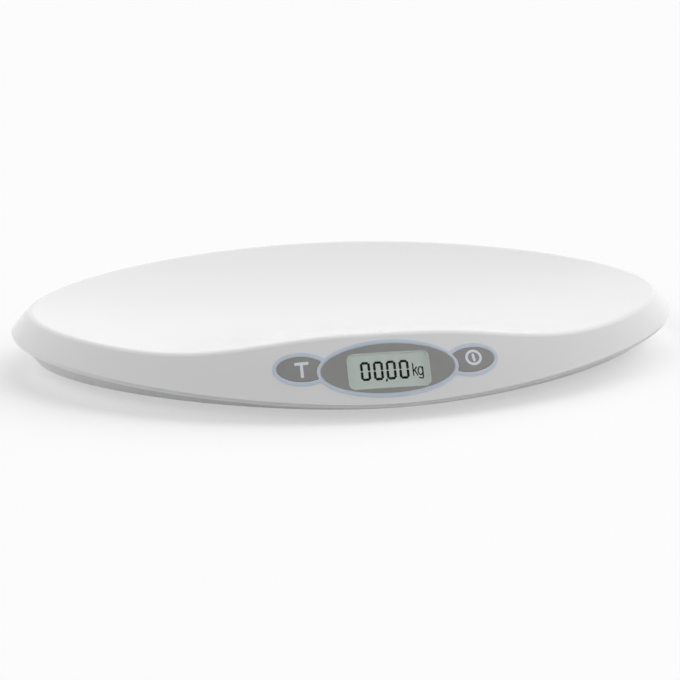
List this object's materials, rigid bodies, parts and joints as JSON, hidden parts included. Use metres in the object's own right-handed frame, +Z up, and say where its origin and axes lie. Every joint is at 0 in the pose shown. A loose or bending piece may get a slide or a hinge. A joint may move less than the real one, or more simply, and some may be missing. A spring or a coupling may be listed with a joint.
{
  "type": "baby weighing scale",
  "caption": "Digital baby weighing scale: a long shallow curved dish on a low base with weighing feet, and a front panel with a display between two wing-shaped keys.",
  "frame": {"origin": "centre of the footprint, on the plane that the feet stand on", "axes": "+X along the length, -Y the front with the display, +Z up"},
  "size_m": [0.56, 0.34, 0.0614],
  "materials": {
    "tray_white": "gloss",
    "base_white": "gloss",
    "pale_blue_film": "satin",
    "panel_grey": "satin",
    "clear_lens": "polished",
    "lcd_cell": "polished",
    "holder_white": "matte",
    "strip_pink": "matte",
    "board_green": "satin",
    "chip_black": "matte",
    "connector_ivory": "matte",
    "plunger_brown": "matte",
    "foot_rubber": "matte",
    "foot_plastic": "matte",
    "cell_steel": "brushed",
    "cover_plastic": "matte",
    "gauge_amber": "satin",
    "battery_jacket": "gloss",
    "spring_nickel": "bright",
    "screw_steel": "bright",
    "lead_sheath": "matte"
  },
  "bodies": {
    "scale_body": {"tray_shell": "tray_white", "base_shell": "base_white", "panel_border": "pale_blue_film", "display_fascia": "panel_grey", "display_lens": "clear_lens", "lcd_glass": "lcd_cell", "lcd_holder": "holder_white", "elastomer_strip": "strip_pink", "main_board": "board_green", "controller_chip": "chip_black", "tare_switch": "chip_black", "power_switch": "chip_black", "lead_connector": "connector_ivory", "load_cell_front_left": "cell_steel", "load_cell_front_right": "cell_steel", "load_cell_back_left": "cell_steel", "load_cell_back_right": "cell_steel", "load_cell_cover_front_left": "cover_plastic", "load_cell_cover_front_right": "cover_plastic", "load_cell_cover_back_left": "cover_plastic", "load_cell_cover_back_right": "cover_plastic", "strain_gauges": "gauge_amber", "battery_1": "battery_jacket", "battery_2": "battery_jacket", "battery_3": "battery_jacket", "battery_4": "battery_jacket", "battery_springs": "spring_nickel", "battery_contacts": "spring_nickel", "shell_screws": "screw_steel", "board_screws": "screw_steel", "cover_screws": "screw_steel", "load_cell_lead_front_left": "lead_sheath", "load_cell_lead_front_right": "lead_sheath", "load_cell_lead_back_left": "lead_sheath", "load_cell_lead_back_right": "lead_sheath", "battery_lead": "lead_sheath"},
    "tare_key": {"tare_key": "panel_grey", "tare_switch_plunger": "plunger_brown"},
    "power_key": {"power_key": "panel_grey", "power_switch_plunger": "plunger_brown"},
    "battery_door": {"battery_door": "base_white"},
    "foot_front_left": {"foot_cup_front_left": "foot_plastic", "foot_pad_front_left": "foot_rubber"},
    "foot_front_right": {"foot_cup_front_right": "foot_plastic", "foot_pad_front_right": "foot_rubber"},
    "foot_back_left": {"foot_cup_back_left": "foot_plastic", "foot_pad_back_left": "foot_rubber"},
    "foot_back_right": {"foot_cup_back_right": "foot_plastic", "foot_pad_back_right": "foot_rubber"}
  },
  "joints": [
    {"name": "tare_key_press", "type": "slide", "parent": "scale_body", "child": "tare_key", "axis": [0, 0.8323, -0.5544], "range_m": [0, 0.0006], "stiffness_N_per_m": 2500},
    {"name": "power_key_press", "type": "slide", "parent": "scale_body", "child": "power_key", "axis": [0, 0.8323, -0.5544], "range_m": [0, 0.0006], "stiffness_N_per_m": 2500},
    {"name": "foot_front_left_travel", "type": "slide", "parent": "scale_body", "child": "foot_front_left", "axis": [0, 0, 1], "range_m": [0, 0.0005], "stiffness_N_per_m": 60000},
    {"name": "foot_front_right_travel", "type": "slide", "parent": "scale_body", "child": "foot_front_right", "axis": [0, 0, 1], "range_m": [0, 0.0005], "stiffness_N_per_m": 60000},
    {"name": "foot_back_left_travel", "type": "slide", "parent": "scale_body", "child": "foot_back_left", "axis": [0, 0, 1], "range_m": [0, 0.0005], "stiffness_N_per_m": 60000},
    {"name": "foot_back_right_travel", "type": "slide", "parent": "scale_body", "child": "foot_back_right", "axis": [0, 0, 1], "range_m": [0, 0.0005], "stiffness_N_per_m": 60000},
    {"name": "battery_door_swing", "type": "hinge", "parent": "scale_body", "child": "battery_door", "pos_m": [0, 0.07805, 0.0072], "axis": [1, 0, 0], "range_deg": [0, 75]}
  ]
}
